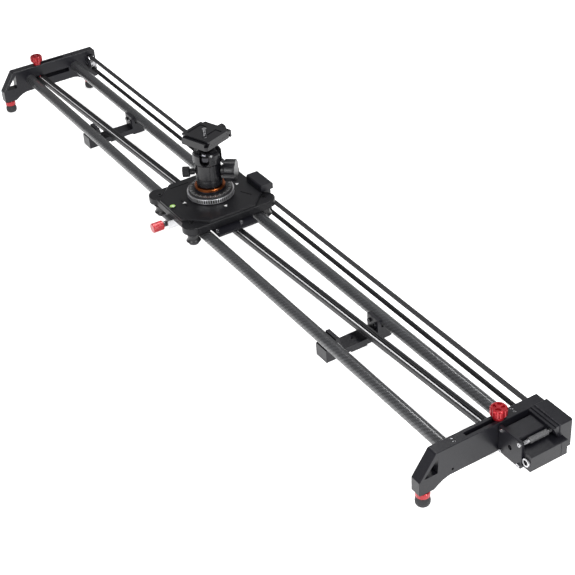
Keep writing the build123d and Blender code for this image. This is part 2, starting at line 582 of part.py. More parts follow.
def pan_gear():
    """Pinion and hub of the turntable."""
    face = make_face(Polyline(*[(x, y, 0) for x, y in involute_points(GEAR_TEETH, MODULE, GEAR_BACKLASH)],
                              close=True))
    g = Pos(CAR_X, TRACK_Y, GEAR_Z0) * extrude(face, GEAR_Z1 - GEAR_Z0)
    return g + rod_z(CAR_X, TRACK_Y, GEAR_Z1 - 1, PAN_Z0, HUB_R)


def rack_face():
    """Teeth point to -X; one tooth centre sits on the gear centre line when stored."""
    pitch = math.pi * MODULE
    x_pitch = CAR_X + GEAR_R
    half = (pitch / 2 - GEAR_BACKLASH) / 2
    slope = math.tan(math.radians(20))
    tip, root = x_pitch - MODULE, x_pitch + 1.25 * MODULE
    pts = []
    for k in range(-5, 6):
        y = TRACK_Y + k * pitch
        pts += [(root, y - half - slope * 1.25 * MODULE), (tip, y - half + slope * MODULE),
                (tip, y + half - slope * MODULE), (root, y + half + slope * 1.25 * MODULE)]
    y_lo, y_hi = pts[0][1] - 0.6, pts[-1][1] + 0.6
    pts = [(root, y_lo)] + pts + [(root, y_hi), (root + 4.6, y_hi), (root + 4.6, y_lo)]
    return make_face(Polyline(*[(x, y, GEAR_Z0) for x, y in pts], close=True))


def follower():
    """Rack, arm and guide pin: slides across the carriage as the pin follows the groove."""
    y = guide_y(FOLLOW_X)
    f = extrude(rack_face(), GEAR_Z1 - GEAR_Z0, dir=(0, 0, 1))
    f += block(CAR_X + GEAR_R + 5, FOLLOW_X + 3.4, y - 5.5, y + 5.5, GEAR_Z0, GEAR_Z1)
    return f + rod_z(FOLLOW_X, y, GUIDE_Z1 - GROOVE_D + 0.8, GEAR_Z1, PIN_R)


# ---------------------------------------------------------------- turntable and ball head
def centre(shape):
    return Pos(CAR_X, TRACK_Y, 0) * shape


def pan_table():
    t = lathe([(0, PAN_Z0), (PAN_R - 1, PAN_Z0), (PAN_R, PAN_Z0 + 1), (PAN_R, PAN_Z1 - 1),
               (PAN_R - 1, PAN_Z1), (0, PAN_Z1)])
    return centre(t)


def pan_dial():
    return centre(lathe([(0, PAN_Z1), (DIAL_R, PAN_Z1), (DIAL_R, DIAL_Z - 0.8), (DIAL_R - 0.8, DIAL_Z),
                         (0, DIAL_Z)]))


def head_base():
    return centre(lathe([(0, DIAL_Z), (22, DIAL_Z), (22.5, DIAL_Z + 0.6), (22.5, DIAL_Z + 3), (0, DIAL_Z + 3)]))


def scale_ring():
    z = DIAL_Z + 3
    return centre(lathe([(0, z), (21.8, z), (21.8, z + 2.6), (21, z + 3.4), (7.95, z + 3.4), (7.95, z + 10),
                         (0, z + 10)]))


def head_housing():
    """Socket body: spherical seat, notched crown and the bores of both knobs."""
    z, c = HEAD_Z0, CROWN_Z
    h = centre(lathe([(8, z), (HEAD_R - 0.6, z), (HEAD_R, z + 0.6), (HEAD_R, z + 8), (HEAD_R - 0.7, z + 9),
                      (HEAD_R - 0.7, z + 11), (HEAD_R, z + 12), (HEAD_R, c - 4), (CROWN_R, c - 1.5),
                      (CROWN_R, HEAD_Z1 - 4), (CROWN_R - 1.2, HEAD_Z1 - 1.5), (CROWN_R - 3.5, HEAD_Z1),
                      (0, HEAD_Z1), (0, z + 7), (8, z + 7)]))
    h -= Pos(CAR_X, TRACK_Y, BALL_Z) * Sphere(BALL_R + FREE)
    notch = STEM_R + 1.2
    for i in range(4):
        p = aim(NOTCH_DEG + 90 * i, BALL_Z)
        h -= p * Pos(0, 0, 15) * Cylinder(notch, 30)
        h -= p * Pos(15, 0, 15) * Box(30, 2 * notch, 30)
    h -= aim(MAIN_KNOB_DEG, KNOB_Z) * Pos(0, 0, 16) * Cylinder(4 + RUN, 12)
    h -= aim(PAN_KNOB_DEG, PAN_KNOB_Z) * Pos(0, 0, 16) * Cylinder(2.5 + RUN, 12)
    return h


def main_knob():
    """Large lobed lock knob."""
    k = Pos(0, 0, 21.7) * Cylinder(8, 4.8) + Pos(0, 0, 17.5) * Cylinder(4, 11)
    grip = Pos(0, 0, 32) * Cylinder(16.5, 16)
    grip = fillet(grip.edges().filter_by(GeomType.CIRCLE), 2.6)
    k = aim(MAIN_KNOB_DEG, KNOB_Z) * (k + grip)
    return flute(k, aim(MAIN_KNOB_DEG, KNOB_Z), 20.9, 41, 19.8, 6, 6.2, 30)


def pan_knob():
    """Small knurled knob that locks the pan of the head."""
    k = Pos(0, 0, 19) * Cylinder(2.5, 16) + Pos(0, 0, 23) * Cylinder(4.5, 7.4)
    grip = Pos(0, 0, 31.5) * Cylinder(7.5, 10.4)
    grip = chamfer(grip.edges().filter_by(GeomType.CIRCLE), 0.8)
    k = aim(PAN_KNOB_DEG, PAN_KNOB_Z) * (k + grip)
    return flute(k, aim(PAN_KNOB_DEG, PAN_KNOB_Z), 27.4, 35.7, 8.1, 18, 0.95)


def ball():
    """Ball with its neck and the spigot the clamp turns on."""
    b = Pos(CAR_X, TRACK_Y, BALL_Z) * Sphere(BALL_R)
    z = BALL_Z
    b += centre(lathe([(0, z), (STEM_R, z), (STEM_R, CLAMP_Z - 4), (9, CLAMP_Z - 2), (9, CLAMP_Z - 0.2),
                       (4, CLAMP_Z - 0.2), (4, CLAMP_Z + 3), (0, CLAMP_Z + 3)]))
    return b


def on_clamp(shape):
    return Pos(CAR_X, TRACK_Y, CLAMP_Z) * Rot(0, 0, CLAMP_TURN) * shape


def jaw_section(s):
    """Undercut jaw in local Y, Z on side s."""
    pts = [(25, BED_T), (20.2, BED_T), (20.2, BED_T + 1.1), (17.3, BED_T + 4.0), (17.3, BED_T + 4.8),
           (25, BED_T + 4.8)]
    return [(s * y, z) for y, z in pts]


def clamp_base():
    """Bed with the fixed jaw of the quick-release clamp."""
    b = fillet(block(-24, 24, -25, 25, 0, BED_T).edges().filter_by(Axis.Z), 4.0)
    b += yz_sheet(jaw_section(-1), -20, 20)
    b -= rod((0, 0, -1), (0, 0, 1), 4.3, 4 + RUN)
    b -= rod((0, 11, CLAMP_SCREW_Z), (0, 1, 0), 15, 1.8 + RUN)
    return on_clamp(b)


def clamp_jaw():
    """Sliding jaw with the ear that the clamp screw pulls on."""
    j = yz_sheet([(y, z + 0.1) for y, z in jaw_section(1)], -24, 24)
    j += block(-24, 24, 25.3, 28.3, 0, BED_T + 4.9) + block(-24, 24, 24.9, 25.4, BED_T + 0.1, BED_T + 4.9)
    j -= rod((0, 24, CLAMP_SCREW_Z), (0, 1, 0), 6, 1.8 + RUN)
    return on_clamp(j)


def clamp_knob():
    k = rod((0, 12, CLAMP_SCREW_Z), (0, 1, 0), 17, 1.8)
    grip = rod((0, 28.6, CLAMP_SCREW_Z), (0, 1, 0), 10, 6.5)
    grip = chamfer(grip.edges().filter_by(GeomType.CIRCLE), 0.8)
    tool = Plane(origin=(0, 0, CLAMP_SCREW_Z), z_dir=(0, 1, 0))
    return on_clamp(k + flute(grip, tool, 30, 37.2, 7.1, 16, 0.85))


def camera_plate():
    """Dovetail plate that carries the camera screw."""
    z = BED_T + 0.2
    half = [(19.9, z), (19.9, z + 0.8), (17.0, z + 3.7), (17.0, z + 5.2)]
    p = fillet(block(-25, 25, -20.2, 20.2, z + 5, PLATE_Z).edges().filter_by(Axis.Z), 2.0)
    p += yz_sheet(half + [(-y, h) for y, h in reversed(half)], -24, 24)
    p -= block(-20, -8, -14, 14, PLATE_Z - 0.9, PLATE_Z + 1) + block(8, 20, -14, 14, PLATE_Z - 0.9, PLATE_Z + 1)
    p -= rod((0, 0, z - 1), (0, 0, 1), 9, CAMERA_SCREW_R + 0.08)
    return on_clamp(p - rod((0, 0, z - 1), (0, 0, 1), 3.6, 6.4))


def camera_screw():
    s = rod((0, 0, BED_T + 0.6), (0, 0, 1), PLATE_Z - BED_T - 0.6, CAMERA_SCREW_R - 0.6)
    s += rod((0, 0, PLATE_Z), (0, 0, 1), 5, CAMERA_SCREW_R)
    return on_clamp(s + rod((0, 0, BED_T + 0.6), (0, 0, 1), 1.8, 6))


# ---------------------------------------------------------------- assembly
FEET = {"far_front": (-1, FOOT_FRONT_Y), "far_rear": (-1, FOOT_REAR_Y),
        "motor_front": (1, FOOT_FRONT_Y), "motor_rear": (1, FOOT_REAR_Y)}
ROLLERS = dict(zip(("front_far", "front_motor", "rear_far", "rear_motor"), roller_places()))


def assembly():
    nodes = {
        "end_plate_far": end_plate(-1), "end_plate_motor": end_plate(1), "grub_screws": grub_screws(),
        "rail_tube_front": rail_tube(TUBE_FRONT_Y), "rail_tube_rear": rail_tube(TUBE_REAR_Y),
        "guide_rail": guide_rail(), "lock_knob_far": lock_knob(-1), "lock_knob_motor": lock_knob(1),
        "bracket_far": bracket(BRACKET_X[0]), "bracket_motor": bracket(BRACKET_X[1]),
        "bracket_screws": bracket_screws(), "belt": belt(), "idler_fork": idler_fork(),
        "idler_axle": idler_axle(), "idler_pulley": pulley(IDLER_X, SHAFT_R + RUN),
        "drive_pulley": drive_pulley(), "drive_housing": drive_housing(),
        "unit_screws": unit_screws(), "motor_flange": motor_flange(), "motor_body": motor_body(),
        "motor_plate": motor_plate(), "thumb_roller": thumb_roller(),
        "controller_case": controller_case(), "control_socket": control_socket(),
        "deck": deck(), "roller_axles": roller_axles(), "cross_beam": cross_beam(),
        "carriage_screws": carriage_screws(), "level_ring": level_ring(), "level_glass": level_glass(),
        "belt_clamp": belt_clamp(), "brake_block": brake_block(), "brake_knob": brake_knob(),
        "follower": follower(), "pan_gear": pan_gear(), "pan_table": pan_table(),
        "pan_dial": pan_dial(), "head_base": head_base(), "scale_ring": scale_ring(),
        "head_housing": head_housing(), "main_knob": main_knob(), "pan_knob": pan_knob(),
        "ball": ball(), "clamp_base": clamp_base(), "clamp_jaw": clamp_jaw(),
        "clamp_knob": clamp_knob(), "camera_plate": camera_plate(), "camera_screw": camera_screw(),
    }
    for name, (side, y) in FEET.items():
        nodes["foot_" + name] = foot(side, y)
        nodes["foot_wheel_" + name] = foot_wheel(side, y)
    for name, place in ROLLERS.items():
        nodes["roller_" + name] = roller(place)
    return nodes


def origin_shift(nodes):
    """Bottom centre of the box round all nodes."""
    boxes = [s.bounding_box() for s in nodes.values()]
    lo = [min(tuple(b.min)[i] for b in boxes) for i in range(3)]
    hi = [max(tuple(b.max)[i] for b in boxes) for i in range(3)]
    return (-(lo[0] + hi[0]) / 2, -(lo[1] + hi[1]) / 2, -lo[2])


if __name__ == "__main__":
    os.makedirs("parts", exist_ok=True)
    parts = assembly()
    move = Pos(*origin_shift(parts))
    for name, shape in parts.items():
        export_step(move * shape, f"parts/{name}.step")
    print(len(parts), "parts, shift", [round(v, 4) for v in origin_shift(parts)])
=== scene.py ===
import math

import bmesh
import bpy
from mathutils import Matrix, Vector


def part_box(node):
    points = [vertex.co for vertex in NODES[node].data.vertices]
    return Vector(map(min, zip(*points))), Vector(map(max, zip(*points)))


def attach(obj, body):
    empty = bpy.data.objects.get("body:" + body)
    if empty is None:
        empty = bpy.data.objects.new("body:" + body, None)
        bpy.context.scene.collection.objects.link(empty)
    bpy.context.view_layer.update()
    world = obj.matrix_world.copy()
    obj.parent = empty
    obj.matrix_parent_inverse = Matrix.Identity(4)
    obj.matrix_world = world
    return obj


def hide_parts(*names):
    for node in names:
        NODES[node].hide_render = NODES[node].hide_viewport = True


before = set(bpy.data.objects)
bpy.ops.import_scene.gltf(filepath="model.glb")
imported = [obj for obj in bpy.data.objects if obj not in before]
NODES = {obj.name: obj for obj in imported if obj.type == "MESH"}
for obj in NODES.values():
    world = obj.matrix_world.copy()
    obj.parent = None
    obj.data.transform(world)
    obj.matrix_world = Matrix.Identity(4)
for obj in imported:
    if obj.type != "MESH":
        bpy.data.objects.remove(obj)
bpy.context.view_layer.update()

# Looks of the camera slider. Lengths named here are in millimetres on the slider's own drawing
# (X along the rails from their middle, Y towards the belt, Z up from the feet) and spot() turns
# them into metres in the stored frame.

MM = 0.001
PLATE_OUTER, PLATE_FRONT, PLATE_TOP = 600, -87, 75   # faces of the motor end plate on the drawing
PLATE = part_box("end_plate_motor")
SHIFT = Vector((PLATE[1].x, PLATE[0].y, PLATE[1].z)) - Vector((PLATE_OUTER, PLATE_FRONT, PLATE_TOP)) * MM
CORNERS = ("far_front", "far_rear", "motor_front", "motor_rear")
ROLLER_PLACES = ("front_far", "front_motor", "rear_far", "rear_motor")

FLUTES = 62                  # round the turntable
FLUTE_DEPTH = 1.5 * MM
BRAKE_GRIP = 16.7 * MM       # red length of the brake knob, its neck is bare
MARK_CIRCLE = 42.5 * MM      # radius on which the deck's arrowheads stand
SHAFT_END = (619.5, 24, 53.8)
SOCKET_DEPTH = 9 * MM


def spot(x, y, z):
    """A place on the drawing, in metres in the stored frame."""
    return Vector((x, y, z)) * MM + SHIFT


def middle(node):
    low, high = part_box(node)
    return (low + high) / 2


# ---------------------------------------------------------------- shader writing
class Wire:
    """A socket that can be added, multiplied and compared like a number."""

    def __init__(self, shade, socket):
        self.shade, self.socket = shade, socket

    def calc(self, operation, *others, **settings):
        settings["operation"] = operation
        return self.shade.node("ShaderNodeMath", settings, [self, *others])

    def __add__(self, other): return self.calc("ADD", other)
    def __sub__(self, other): return self.calc("SUBTRACT", other)
    def __mul__(self, other): return self.calc("MULTIPLY", other)
    def __truediv__(self, other): return self.calc("DIVIDE", other)
    def __radd__(self, other): return self.calc("ADD", other)
    def __rmul__(self, other): return self.calc("MULTIPLY", other)
    def __gt__(self, other): return self.calc("GREATER_THAN", other)
    def __lt__(self, other): return self.calc("LESS_THAN", other)

    def __rsub__(self, other):
        return self.shade.node("ShaderNodeMath", {"operation": "SUBTRACT"}, [other, self])

    def sin(self): return self.calc("SINE")
    def floor(self): return self.calc("FLOOR")
    def fract(self): return self.calc("FRACT")
    def abs(self): return self.calc("ABSOLUTE")
    def mod(self, other): return self.calc("FLOORED_MODULO", other)
    def limit(self): return self.calc("ADD", 0.0, use_clamp=True)


class Shade:
    """One material and the way its nodes are made."""

    def __init__(self, name):
        self.material = bpy.data.materials.new(name)
        self.material.use_nodes = True
        self.tree = self.material.node_tree
        self.body = self.tree.nodes["Principled BSDF"]
        self.where = self.node("ShaderNodeTexCoord", out="Object")

    def node(self, kind, settings=None, sockets=None, out=0):
        made = self.tree.nodes.new(kind)
        for key, value in (settings or {}).items():
            if key == "stops":
                ramp = made.color_ramp
                while len(ramp.elements) < len(value):
                    ramp.elements.new(0.5)
                for stop, (place, colour) in zip(ramp.elements, value):
                    stop.position, stop.color = place, colour
            else:
                setattr(made, key, value)
        pairs = sockets.items() if isinstance(sockets, dict) else enumerate(sockets or [])
        for key, value in pairs:
            self.feed(made.inputs[key], value)
        return Wire(self, made.outputs[out])

    def feed(self, socket, value):
        """Link a wire to a socket, or set the socket to a plain value."""
        if isinstance(value, Wire):
            self.tree.links.new(value.socket, socket)
        else:
            socket.default_value = value

    def set(self, **values):
        """Feed sockets of the main shader by name."""
        for key, value in values.items():
            self.feed(self.body.inputs[key.replace("_", " ")], value)
        return self

    def axes(self):
        """X, Y and Z of the object coordinates."""
        made = self.tree.nodes.new("ShaderNodeSeparateXYZ")
        self.tree.links.new(self.where.socket, made.inputs[0])
        return [Wire(self, s) for s in made.outputs]

    def around(self, centre, turn=(0, 0, 0), stretch=(1, 1, 1)):
        """Object coordinates measured from a centre."""
        moved = self.node("ShaderNodeVectorMath", {"operation": "SUBTRACT"}, [self.where, tuple(centre)])
        return self.node("ShaderNodeMapping", {"vector_type": "POINT"},
                         {"Vector": moved, "Rotation": turn, "Scale": stretch})

    def noise(self, scale, detail=3.0, rough=0.5, vector=None):
        return self.node("ShaderNodeTexNoise", None, {"Vector": vector or self.where, "Scale": scale,
                                                      "Detail": detail, "Roughness": rough})

    def mix(self, amount, first, second):
        return self.node("ShaderNodeMix", {"data_type": "RGBA"}, {0: amount, 6: first, 7: second}, out=2)

    def bump(self, height, depth, strength=1.0):
        lit = self.node("ShaderNodeBump", None, {"Height": height, "Distance": depth, "Strength": strength})
        return self.set(Normal=lit)


def tint(r, g, b):
    """An opaque colour."""
    return (r, g, b, 1.0)


def anodised(name, colour, lift, rough=0.36, grain=2600.0, metal=0.0, depth=0.00003, shine=0.32):
    """Anodised or powder coated metal: fine grain, faint cloudiness, uneven sheen."""
    s = Shade(name)
    cloud = s.noise(30.0, 4.0, 0.6)
    fine = s.noise(grain, 2.0)
    s.set(Base_Color=s.mix(cloud, tint(*colour), tint(*lift)), Metallic=metal,
          Roughness=(cloud * 0.14 + fine * 0.10) + (rough - 0.12))
    s.body.inputs["Specular IOR Level"].default_value = shine
    return s.bump(fine, depth)


def brushed(name, colour, stretch, rough=0.27, metal=1.0):
    """Turned or brushed bright metal with fine lines along one direction."""
    s = Shade(name)
    lines = s.noise(900.0, 3.0, 0.7, s.around((0, 0, 0), stretch=stretch))
    stain = s.noise(60.0, 3.0)
    dark = tuple(c * 0.62 for c in colour)
    s.set(Base_Color=s.mix(lines * 0.6 + stain * 0.4, tint(*dark), tint(*colour)), Metallic=metal,
          Roughness=lines * 0.16 + stain * 0.08 + (rough - 0.10))
    return s.bump(lines, 0.00002)


def red_anodised(name, neck_from=None):
    """Red anodising; past neck_from along Y the bare dark steel of a neck shows."""
    s = Shade(name)
    cloud = s.noise(140.0, 3.0)
    fine = s.noise(3000.0, 2.0)
    red = s.mix(cloud, tint(0.24, 0.003, 0.008), tint(0.46, 0.012, 0.020))
    metal = 0.45
    if neck_from is not None:
        x, y, z = s.axes()
        neck = y > neck_from
        red = s.mix(neck, red, tint(0.05, 0.05, 0.055))
        metal = neck * 0.4 + 0.45
    s.set(Base_Color=red, Metallic=metal, Roughness=fine * 0.12 + cloud * 0.10 + 0.20)
    s.body.inputs["Coat Weight"].default_value = 0.4
    return s.bump(fine, 0.00002)


def rubber(name, colour=(0.012, 0.012, 0.013)):
    s = Shade(name)
    dust = s.noise(220.0, 4.0, 0.65)
    fine = s.noise(2400.0, 2.0)
    s.set(Base_Color=s.mix(dust, tint(*colour), tint(*(c * 2.6 for c in colour))),
          Roughness=dust * 0.2 + 0.48)
    s.body.inputs["Specular IOR Level"].default_value = 0.3
    return s.bump(fine, 0.00006)


def moulded(name, colour=(0.018, 0.018, 0.020), rough=0.42):
    """Moulded casing with a fine spark-eroded texture."""
    s = Shade(name)
    pits = s.node("ShaderNodeTexVoronoi", {"feature": "F1"}, {"Vector": s.where, "Scale": 1500.0})
    cloud = s.noise(45.0, 3.0)
    s.set(Base_Color=s.mix(cloud, tint(*colour), tint(*(c * 1.7 for c in colour))),
          Roughness=pits * 0.15 + cloud * 0.08 + (rough - 0.1))
    s.body.inputs["Specular IOR Level"].default_value = 0.35
    return s.bump(pits, 0.00005)


def carbon_tube(name, node):
    """Twill weave wrapped round a tube that runs along X, under clear resin."""
    mid = middle(node)
    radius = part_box(node)[1].z - mid.z
    s = Shade(name)
    x, y, z = s.axes()
    turn = s.node("ShaderNodeMath", {"operation": "ARCTAN2"}, [z - mid.z, y - mid.y])
    cell = 1.6 * MM
    round_count = round(2 * math.pi * radius / cell / 4) * 4
    across = (turn / (2 * math.pi) + 0.5) * round_count
    along = x / cell
    i, j = across.floor(), along.floor()
    over = (i + j).mod(4.0) < 1.5
    u, v = across.fract(), along.fract()
    warp = ((u * math.pi).sin() * over) + ((v * math.pi).sin() * (1 - over))
    threads = ((across * 40.0).sin() * (1 - over) + (along * 40.0).sin() * over) * 0.5 + 0.5
    patch = s.noise(38.0, 2.0)
    tone = (over * 0.58 + warp * 0.28 + threads * 0.08) * (patch * 0.7 + 0.65)
    s.set(Base_Color=s.mix(tone, tint(0.004, 0.004, 0.005), tint(0.075, 0.077, 0.082)),
          Roughness=0.40 - over * 0.14 + threads * 0.06, Metallic=over * 0.3)
    s.body.inputs["Coat Weight"].default_value = 0.45
    s.body.inputs["Coat Roughness"].default_value = 0.10
    return s.bump(warp, 0.00016, 0.7)


def guide_channel(name):
    """Black extrusion with a painted highlight: a bright stripe painted along its groove."""
    s = Shade(name)
    low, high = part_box("guide_rail")
    far, near = middle("lock_knob_far"), middle("lock_knob_motor")
    slope = (near.y - far.y) / (near.x - far.x)
    x, y, z = s.axes()
    cloud = s.noise(30.0, 4.0, 0.6)
    fine = s.noise(2600.0, 2.0)
    streak = s.noise(700.0, 3.0, 0.7, s.around((0, 0, 0), stretch=(0.03, 1, 1)))
    off = (y - (x - far.x) * slope - far.y).abs()
    # Mask of the painted highlight: a narrow stripe along the groove floor that is coloured bright.
    painted_highlight_strip = (off < 1.4 * MM) * (z > low.z + 0.4 * MM) * (z < high.z - 0.9 * MM)
    black = s.mix(cloud, tint(0.010, 0.010, 0.011), tint(0.026, 0.026, 0.029))
    # Near-white colour of the painted highlight stripe in the groove.
    painted_highlight_white = s.mix(streak, tint(0.80, 0.80, 0.82), tint(0.95, 0.95, 0.96))
    s.set(Base_Color=s.mix(painted_highlight_strip, black, painted_highlight_white), Metallic=painted_highlight_strip * 0.2 + 0.1,
          Roughness=fine * 0.08 + streak * 0.12 + 0.22)
    s.body.inputs["Specular IOR Level"].default_value = 0.35
    return s.bump(fine, 0.00002)


def dressed(shade, *nodes):
    """Give frame nodes their finish."""
    for node in nodes:
        for held in NODES[node].material_slots:
            held.material = shade.material


# ---------------------------------------------------------------- finishes
SATIN = anodised("satin_black", (0.004, 0.004, 0.006), (0.010, 0.010, 0.014), 0.33)
DECK_COAT = anodised("deck_powder_coat", (0.004, 0.004, 0.005), (0.009, 0.009, 0.011), 0.40, 1700.0,
                     depth=0.00006, shine=0.26)
RAIL_BLACK = guide_channel("guide_channel")
HEAD_BLACK = anodised("head_black", (0.004, 0.004, 0.005), (0.009, 0.009, 0.011), 0.22, shine=0.42)
SILVER = brushed("bright_aluminium", (0.78, 0.78, 0.80), (1, 1, 12))
ROD_SILVER = brushed("rod_silver", (0.74, 0.74, 0.76), (1, 20, 1), 0.25)
ROD_GREY = brushed("rod_grip_grey", (0.22, 0.22, 0.225), (1, 20, 1), 0.42, 0.7)
STEEL = brushed("screw_steel", (0.72, 0.72, 0.74), (3, 3, 3), 0.22)
DARK_STEEL = brushed("black_oxide", (0.055, 0.055, 0.06), (2, 2, 2), 0.2, 0.8)
GEAR_STEEL = brushed("gear_steel", (0.5, 0.5, 0.52), (1, 1, 8), 0.32)
POLISHED = brushed("ball_black_chrome", (0.050, 0.050, 0.055), (1, 1, 6), 0.13)
COPPER = brushed("copper_ring", (0.42, 0.12, 0.035), (1, 1, 14), 0.26)
RED = red_anodised("red_anodised")
BRAKE_RED = red_anodised("red_anodised_with_neck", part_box("brake_knob")[0].y + BRAKE_GRIP)
FOOT_RUBBER = rubber("foot_rubber")
BELT_RUBBER = rubber("belt_polyurethane", (0.010, 0.010, 0.011))
ROLLER_BLACK = moulded("roller_polymer", (0.010, 0.010, 0.011), 0.3)
CASE = moulded("case_black", (0.005, 0.005, 0.007), 0.34)
GRIP = moulded("knob_grip", (0.005, 0.005, 0.006), 0.30)


def dial_finish():
    """Black dial with a light degree scale near its rim."""
    s = Shade("dial_scale")
    s.body.inputs["Specular IOR Level"].default_value = 0.35
    mid, top = middle("pan_dial"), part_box("pan_dial")[1].z
    x, y, z = s.axes()
    px, py = x - mid.x, y - mid.y
    radius = (px * px + py * py).calc("SQRT")
    turn = s.node("ShaderNodeMath", {"operation": "ARCTAN2"}, [py, px]) / (2 * math.pi) + 0.5
    fine = (turn * 72.0).fract()
    coarse = (turn * 24.0).fract()
    long_tick = (coarse < 0.07) * (radius > 25.8 * MM)
    tick = (fine < 0.13) * (radius > 27.6 * MM)
    marks = (long_tick + tick).limit() * (radius < 30.3 * MM) * (z > top - 0.2 * MM)
    cloud = s.noise(90.0)
    s.set(Base_Color=s.mix(marks, s.mix(cloud, tint(0.010, 0.010, 0.011), tint(0.02, 0.02, 0.022)),
                           tint(0.62, 0.62, 0.62)), Roughness=marks * 0.2 + cloud * 0.1 + 0.28)
    return s.bump(s.noise(2200.0, 2.0), 0.00002)


def knurl_finish():
    """Bright turned metal with painted shade: the bottom of every flute is coloured dark."""
    s = Shade("fluted_aluminium")
    low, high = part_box("pan_table")
    mid = middle("pan_table")
    x, y, z = s.axes()
    px, py = x - mid.x, y - mid.y
    past = (px * px + py * py).calc("SQRT") - (high.x - mid.x - FLUTE_DEPTH + 0.4 * MM)
    # Mask of the painted shade: the sunk flute bottoms, below the top and above the bottom rim.
    painted_flute_shade = (past < 0.0) * (z < high.z - 0.6 * MM) * (z > low.z + 0.6 * MM)
    lines = s.noise(900.0, 3.0, 0.7, s.around((0, 0, 0), stretch=(1, 1, 12)))
    light = s.mix(lines, tint(0.55, 0.55, 0.57), tint(0.86, 0.86, 0.88))
    # The near-black colour mixed in here is painted shade in the flutes.
    s.set(Base_Color=s.mix(painted_flute_shade, light, tint(0.03, 0.03, 0.032)), Metallic=0.9 - painted_flute_shade * 0.6,
          Roughness=lines * 0.14 + 0.24)
    return s.bump(lines, 0.00002)


def vial_finish():
    """Yellow-green fluid with a clear gloss over it."""
    s = Shade("vial_fluid")
    cloud = s.noise(160.0)
    s.set(Base_Color=s.mix(cloud, tint(0.30, 0.62, 0.10), tint(0.62, 0.86, 0.30)),
          Roughness=cloud * 0.05 + 0.05)
    s.body.inputs["Coat Weight"].default_value = 1.0
    return s


def mark_white():
    """Matt white of the printed marks."""
    s = Shade("mark_white")
    cloud = s.noise(400.0)
    s.set(Base_Color=s.mix(cloud, tint(0.7, 0.7, 0.7), tint(0.86, 0.86, 0.86)), Roughness=cloud * 0.1 + 0.4)
    return s


WHITE = mark_white()
dressed(SATIN, "end_plate_far", "end_plate_motor", "bracket_far", "bracket_motor", "belt_clamp",
        "drive_housing", "motor_flange", "motor_plate", "cross_beam", "idler_fork", "head_base")
dressed(DECK_COAT, "deck")
dressed(RAIL_BLACK, "guide_rail")
dressed(HEAD_BLACK, "head_housing", "clamp_base", "clamp_jaw", "camera_plate", "level_ring")
dressed(SILVER, "idler_pulley", "drive_pulley", "control_socket", "brake_block")
dressed(STEEL, "grub_screws", "carriage_screws", "unit_screws", "camera_screw", "idler_axle")
dressed(DARK_STEEL, "roller_axles", "bracket_screws")
dressed(GEAR_STEEL, "pan_gear", "follower")
dressed(POLISHED, "ball")
dressed(COPPER, "scale_ring")
dressed(RED, "lock_knob_far", "lock_knob_motor")
dressed(BRAKE_RED, "brake_knob")
dressed(CASE, "controller_case", "motor_body")
dressed(GRIP, "main_knob", "pan_knob", "clamp_knob")
dressed(dial_finish(), "pan_dial")
dressed(vial_finish(), "level_glass")
for end in CORNERS:
    dressed(FOOT_RUBBER, "foot_" + end)
    dressed(RED, "foot_wheel_" + end)
for place in ROLLER_PLACES:
    dressed(ROLLER_BLACK, "roller_" + place)
for tube in ("rail_tube_front", "rail_tube_rear"):
    dressed(carbon_tube(tube + "_weave", tube), tube)


# ---------------------------------------------------------------- pieces
def piece(name, mesh, shade, body, smooth=None):
    """Make an object of a bmesh and say what it rides on and which slot it finishes."""
    bmesh.ops.recalc_face_normals(mesh, faces=mesh.faces)
    data = bpy.data.meshes.new(name)
    mesh.to_mesh(data)
    mesh.free()
    made = bpy.data.objects.new(name, data)
    bpy.context.scene.collection.objects.link(made)
    data.materials.append(shade.material)
    if smooth is not None:
        data.shade_smooth()
        data.set_sharp_from_angle(angle=math.radians(smooth))
    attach(made, body)
    return made


def bevelled(mesh, edges, width, segments=2):
    """Round off edges by a width."""
    bmesh.ops.bevel(mesh, geom=list(edges), offset=width, offset_type="OFFSET", segments=segments,
                    profile=0.5, affect="EDGES", material=-1)


def ribbed_drum(mesh, centre, axis, radius, depth, ribs, cut, gap, rim=0.0):
    """Closed drum with every other side strip sunk to leave ribs, between bevelled rims if asked."""
    turn = Vector((0, 0, 1)).rotation_difference(Vector(axis)).to_matrix().to_4x4()
    bmesh.ops.create_cone(mesh, cap_ends=True, segments=2 * ribs, radius1=radius, radius2=radius,
                          depth=depth, matrix=Matrix.Translation(centre) @ turn)
    if rim:
        bevelled(mesh, [e for e in mesh.edges if any(len(f.verts) > 4 for f in e.link_faces)], rim)
    mesh.normal_update()
    sides = [f for f in mesh.faces if len(f.verts) == 4 and abs(f.normal.dot(Vector(axis))) < 0.05]
    axis = Vector(axis)
    one, two = axis.orthogonal().normalized(), axis.cross(axis.orthogonal()).normalized()

    def bearing(face):
        away = face.calc_center_median() - centre
        return math.atan2(away.dot(two), away.dot(one))
    ordered = sorted(sides, key=bearing)
    bmesh.ops.inset_individual(mesh, faces=ordered[::2], thickness=gap, depth=-cut, use_even_offset=True)
    return mesh


def lathed(outline, centre, axis, steps=48):
    """Spin an outline of (radius, height) pairs about an axis into a closed shell."""
    mesh = bmesh.new()
    axis = Vector(axis)
    side = axis.orthogonal().normalized()
    points = [mesh.verts.new(centre + side * (r * MM) + axis * (h * MM)) for r, h in outline]
    edges = [mesh.edges.new(pair) for pair in zip(points, points[1:])]
    bmesh.ops.spin(mesh, geom=points + edges, cent=centre, axis=axis, angle=2 * math.pi, steps=steps,
                   use_merge=True, use_duplicate=False)
    bmesh.ops.remove_doubles(mesh, verts=mesh.verts, dist=1e-7)
    return mesh


